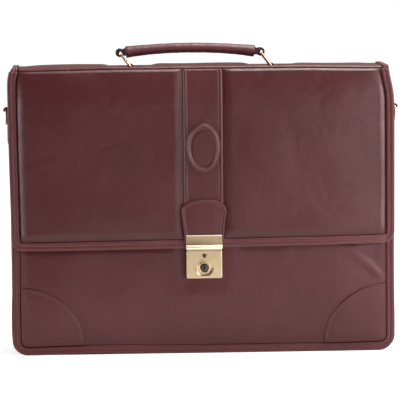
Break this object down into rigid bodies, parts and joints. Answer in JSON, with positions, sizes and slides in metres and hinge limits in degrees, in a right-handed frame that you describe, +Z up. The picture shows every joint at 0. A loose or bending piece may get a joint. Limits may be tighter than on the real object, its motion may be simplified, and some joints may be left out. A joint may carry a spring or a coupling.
{
  "type": "leather document case",
  "caption": "Flap-over document case in bound soft leather with a centre strap, a brass press lock, a top handle on two rings and a strap ring at each end.",
  "frame": {"origin": "on the floor, at the middle of the flat base of the gusset", "axes": "+X along the case to the right as the front is seen, the front faces -Y, +Z up"},
  "size_m": [0.4254, 0.0968, 0.3324],
  "materials": {
    "leather": "satin oxblood leather with a fine grain",
    "dark_leather": "darker oxblood leather, worn",
    "brass": "pale brass, polished and slightly brushed",
    "dark_metal": "dark bronzed steel"
  },
  "bodies": {
    "case": {"front_panel": "leather", "front_binding": "leather", "front_piping": "leather", "gusset": "leather", "back_and_top": "leather", "back_binding": "leather", "flap_panel": "leather", "flap_binding": "leather", "flap_piping": "leather", "centre_strap": "leather", "oval_patch": "leather", "lock_tab": "leather", "corner_patch_left": "leather", "corner_patch_right": "leather", "hasp": "brass", "lock_case": "brass", "lock_pin": "dark_metal", "handle_chape_left": "leather", "handle_chape_right": "leather", "side_chape_left": "leather", "side_chape_right": "leather"},
    "handle_ring_left": {"handle_ring_left": "brass"},
    "handle_ring_right": {"handle_ring_right": "brass"},
    "handle": {"handle_grip": "leather", "handle_loop_left": "dark_leather", "handle_loop_right": "dark_leather"},
    "lock_button": {"lock_button": "brass"},
    "key_plug": {"key_plug": "dark_metal"},
    "side_ring_left": {"side_ring_left": "brass"},
    "side_ring_right": {"side_ring_right": "brass"}
  },
  "joints": [
    {"name": "handle_swing", "type": "hinge", "parent": "case", "child": "handle_ring_left", "pos_m": [-0.0755, -0.008, 0.3071], "axis": [0, 1, 0], "range_deg": [-27, 101]},
    {"name": "handle_ring_right_swing", "type": "hinge", "parent": "case", "child": "handle_ring_right", "pos_m": [0.0755, -0.008, 0.3071], "axis": [0, 1, 0], "range_deg": [-27, 101]},
    {"name": "handle_on_ring", "type": "hinge", "parent": "handle_ring_left", "child": "handle", "pos_m": [-0.08693, -0.008, 0.32227], "axis": [0, 1, 0], "range_deg": [-101, 27]},
    {"name": "button_press", "type": "slide", "parent": "case", "child": "lock_button", "axis": [0, 1, 0], "range_m": [0, 0.0015], "stiffness_N_per_m": 300},
    {"name": "key_turn", "type": "hinge", "parent": "lock_button", "child": "key_plug", "pos_m": [0, -0.052, 0.0942], "axis": [0, 1, 0], "range_deg": [0, 90]},
    {"name": "side_ring_left_swing", "type": "hinge", "parent": "case", "child": "side_ring_left", "pos_m": [-0.2099, 0, 0.262], "axis": [0, 1, 0], "range_deg": [0, 180]},
    {"name": "side_ring_right_swing", "type": "hinge", "parent": "case", "child": "side_ring_right", "pos_m": [0.2099, 0, 0.262], "axis": [0, -1, 0], "range_deg": [0, 180]}
  ],
  "couplings": [
    {"joint": "handle_ring_right_swing", "follows": "handle_swing", "ratio": 1},
    {"joint": "handle_on_ring", "follows": "handle_swing", "ratio": -1}
  ]
}
